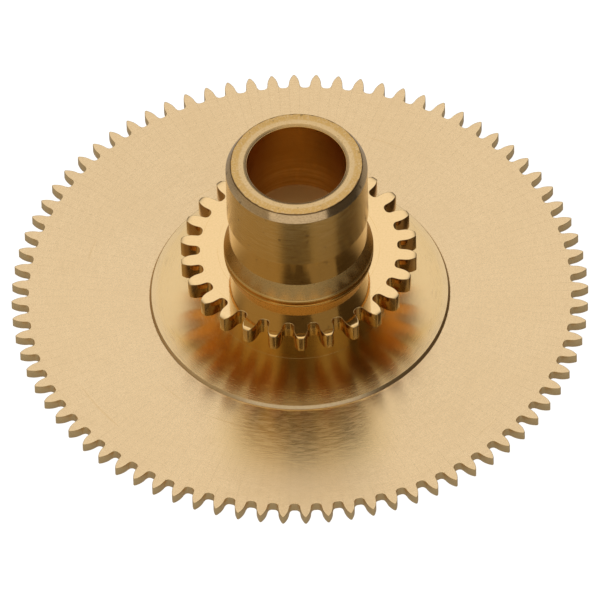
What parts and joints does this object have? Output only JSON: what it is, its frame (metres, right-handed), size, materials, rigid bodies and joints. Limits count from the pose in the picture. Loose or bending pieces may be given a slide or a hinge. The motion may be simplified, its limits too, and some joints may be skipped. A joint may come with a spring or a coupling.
{
  "type": "compound gear",
  "caption": "Stepped brass spur gear: a thin toothed wheel on a flanged hub with a small pinion above and a flared sleeve with a blind bore.",
  "frame": {"origin": "centre of the wheel plate's underside, on the gear axis", "axes": "+Z along the gear axis from the wheel to the mouth of the sleeve; -Y through the centre of a wheel tooth and of a pinion tooth"},
  "size_m": [0.0408, 0.0408, 0.0149],
  "materials": {
    "wheel_brass": "satin with a fine sandy grain",
    "flange_brass": "turned and brushed in rings",
    "pinion_brass": "polished face, machined teeth",
    "sleeve_brass": "turned"
  },
  "bodies": {
    "root": {"wheel_plate": "wheel_brass", "hub_flange": "flange_brass", "pinion": "pinion_brass", "sleeve": "sleeve_brass"}
  },
  "joints": []
}
